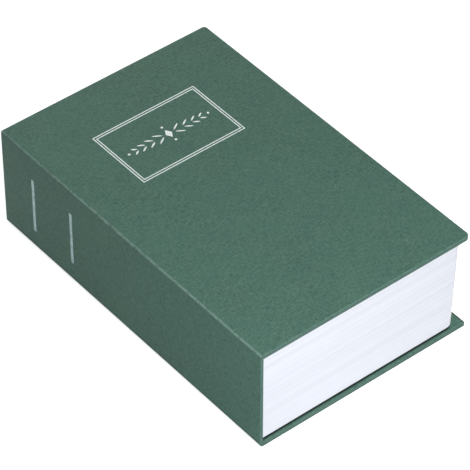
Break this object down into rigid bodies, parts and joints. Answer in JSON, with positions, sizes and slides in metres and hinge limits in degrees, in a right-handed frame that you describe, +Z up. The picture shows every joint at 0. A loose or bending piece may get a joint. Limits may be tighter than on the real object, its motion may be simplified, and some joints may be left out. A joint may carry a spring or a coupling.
{
  "type": "book diversion safe",
  "caption": "Hardback book that hides a keyed steel cash box in its page block: green paper-covered case, white moulded pages, hinged front cover over a hinged lid with a cam lock",
  "frame": {"origin": "Middle of the underside of the back cover, which the book lies on", "axes": "+X from the spine to the fore edge, +Y from the tail to the head, +Z up out of the front cover"},
  "size_m": [0.115, 0.18, 0.054],
  "materials": {
    "cover_paper": "printed paper, matt varnish",
    "greyboard": "raw",
    "endpaper": "uncoated",
    "page_plastic": "moulded, satin",
    "box_enamel": "powder coat, fine texture",
    "zinc_steel": "bright zinc plate",
    "lock_nickel": "nickel plate, polished",
    "plug_brass": "turned"
  },
  "bodies": {
    "book_base": {"back_cover_board": "greyboard", "spine_board": "greyboard", "back_cover_paper": "cover_paper", "spine_paper": "cover_paper", "page_block": "page_plastic", "cash_box": "box_enamel", "lock_strike": "zinc_steel", "box_hinge_leaf": "zinc_steel", "hinge_pin": "zinc_steel"},
    "front_cover": {"front_cover_board": "greyboard", "front_cover_paper": "cover_paper", "front_endpaper": "endpaper"},
    "lid": {"lid_panel": "box_enamel", "lid_hinge_leaf": "zinc_steel", "lock_body": "lock_nickel", "lock_washer": "zinc_steel", "lock_nut": "lock_nickel"},
    "lock_cam": {"lock_plug": "plug_brass", "stop_washer": "zinc_steel", "lock_cam": "zinc_steel", "cam_screw": "zinc_steel"}
  },
  "joints": [
    {"name": "cover_hinge", "type": "hinge", "parent": "book_base", "child": "front_cover", "pos_m": [-0.0575, 0, 0.054], "axis": [0, -1, 0], "range_deg": [0, 207]},
    {"name": "lid_hinge", "type": "hinge", "parent": "book_base", "child": "lid", "pos_m": [-0.0491, 0, 0.04965], "axis": [0, -1, 0], "range_deg": [0, 120]},
    {"name": "lock_turn", "type": "hinge", "parent": "lid", "child": "lock_cam", "pos_m": [0.0308, 0, 0.04975], "axis": [0, 0, -1], "range_deg": [0, 90]}
  ],
  "couplings": [
    {"joint": "lid_hinge", "follows": "cover_hinge", "ratio": 0.57971}
  ]
}
